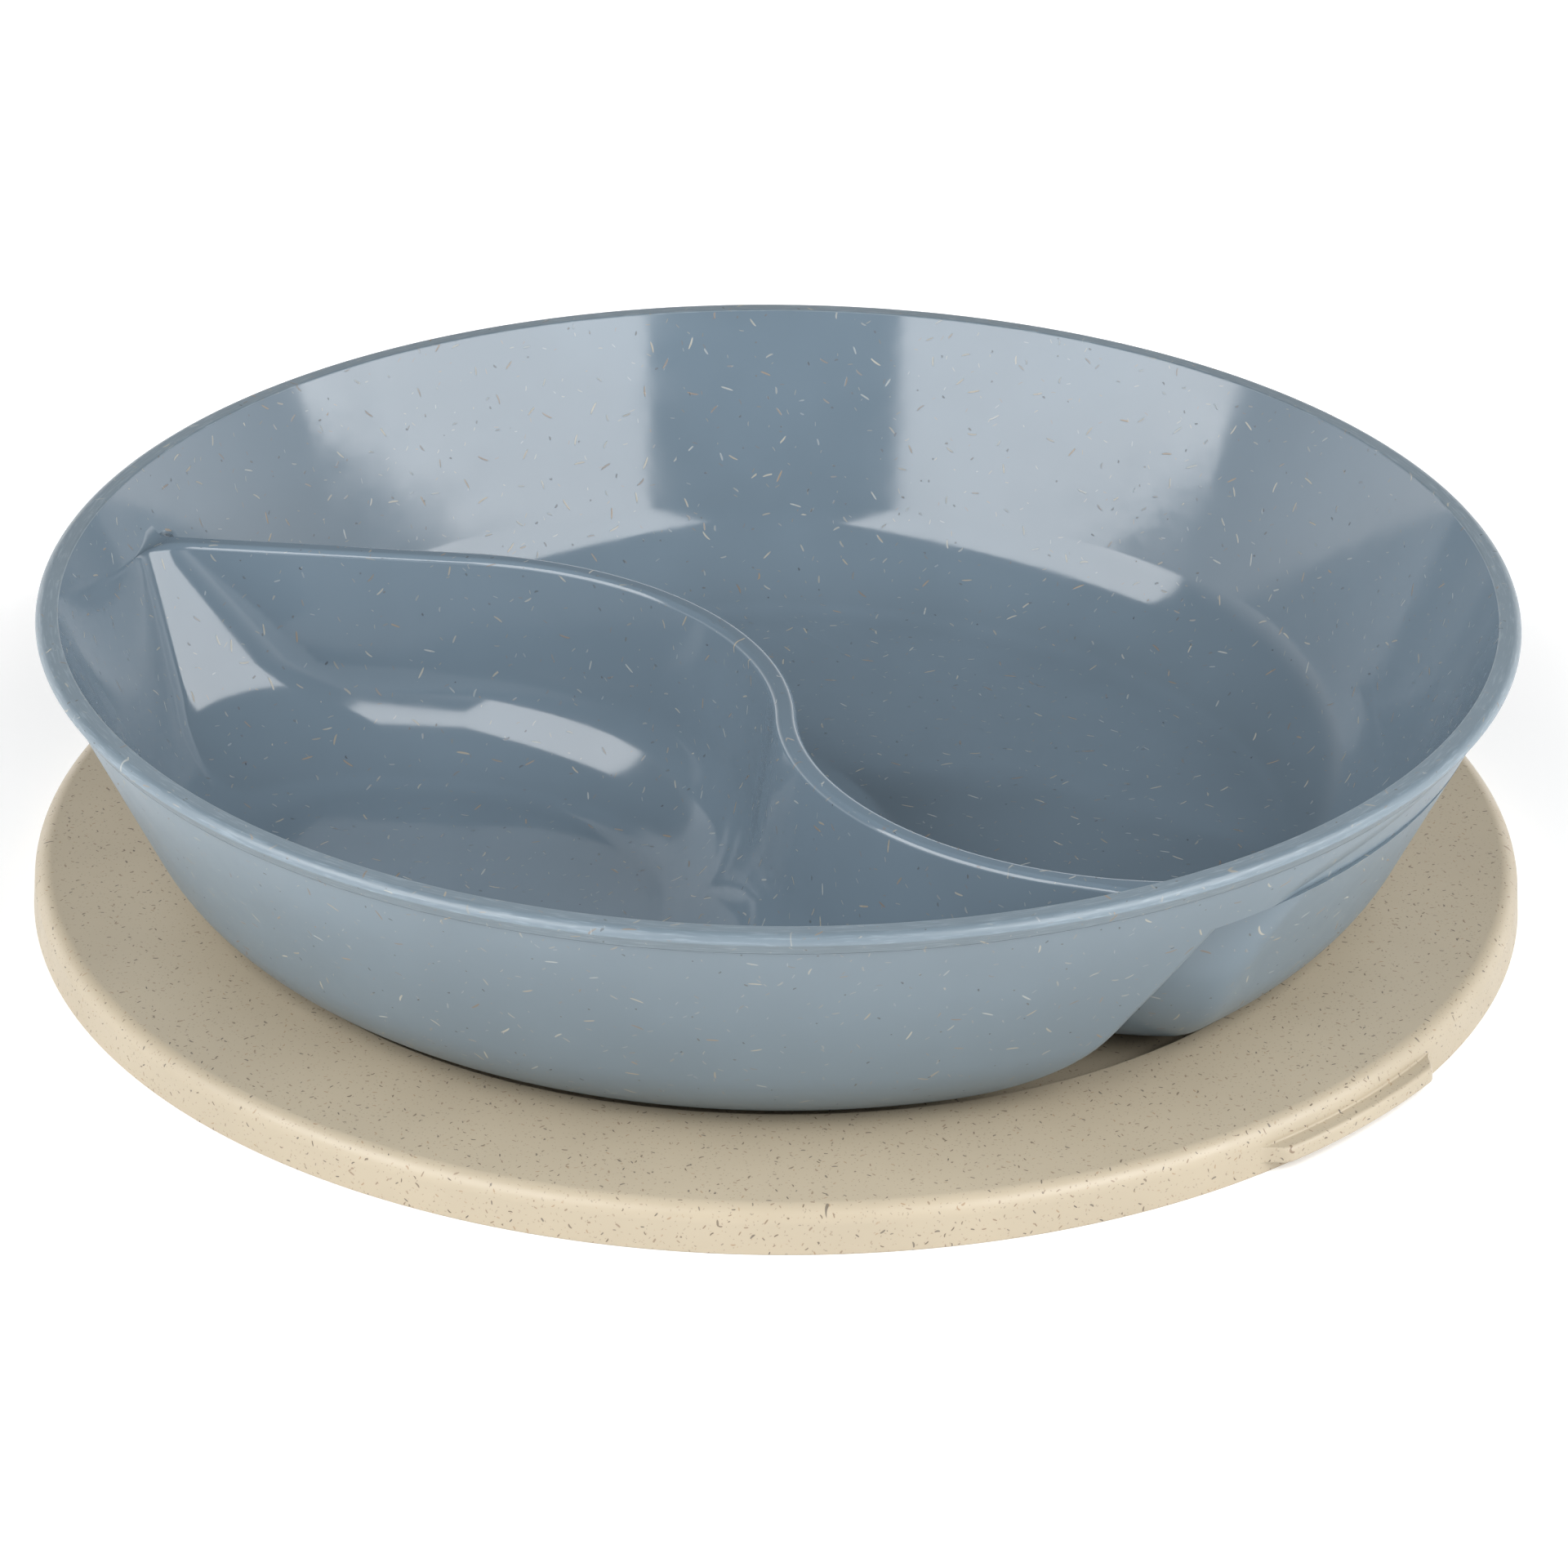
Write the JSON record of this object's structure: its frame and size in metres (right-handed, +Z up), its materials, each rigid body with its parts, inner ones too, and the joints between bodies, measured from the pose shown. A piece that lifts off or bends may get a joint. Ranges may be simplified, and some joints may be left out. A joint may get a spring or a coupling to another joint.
{
  "type": "chip and dip server",
  "caption": "Round serving bowl with an S-shaped dividing wall, standing on its flat round lid, which doubles as a tray and has a finger tab.",
  "frame": {"origin": "centre of the lid's underside, on the surface that the lid stands on", "axes": "+Z up, out of the bowl's mouth; -Y towards the person facing the small front compartment; +X to their right, where the tray's finger tab is, front right"},
  "size_m": [0.2858, 0.2858, 0.0611],
  "materials": {
    "bowl_plastic": "blue-grey moulded plastic, glossy inside and satin outside, with sparse straw-coloured flecks",
    "lid_plastic": "warm beige moulded plastic, satin, with fine dark specks"
  },
  "bodies": {
    "lid": {"lid": "lid_plastic"},
    "bowl": {"divided_bowl": "bowl_plastic"}
  },
  "joints": [
    {"name": "bowl_lift", "type": "slide", "parent": "lid", "child": "bowl", "axis": [0, 0, 1], "range_m": [0, 0.1]}
  ]
}
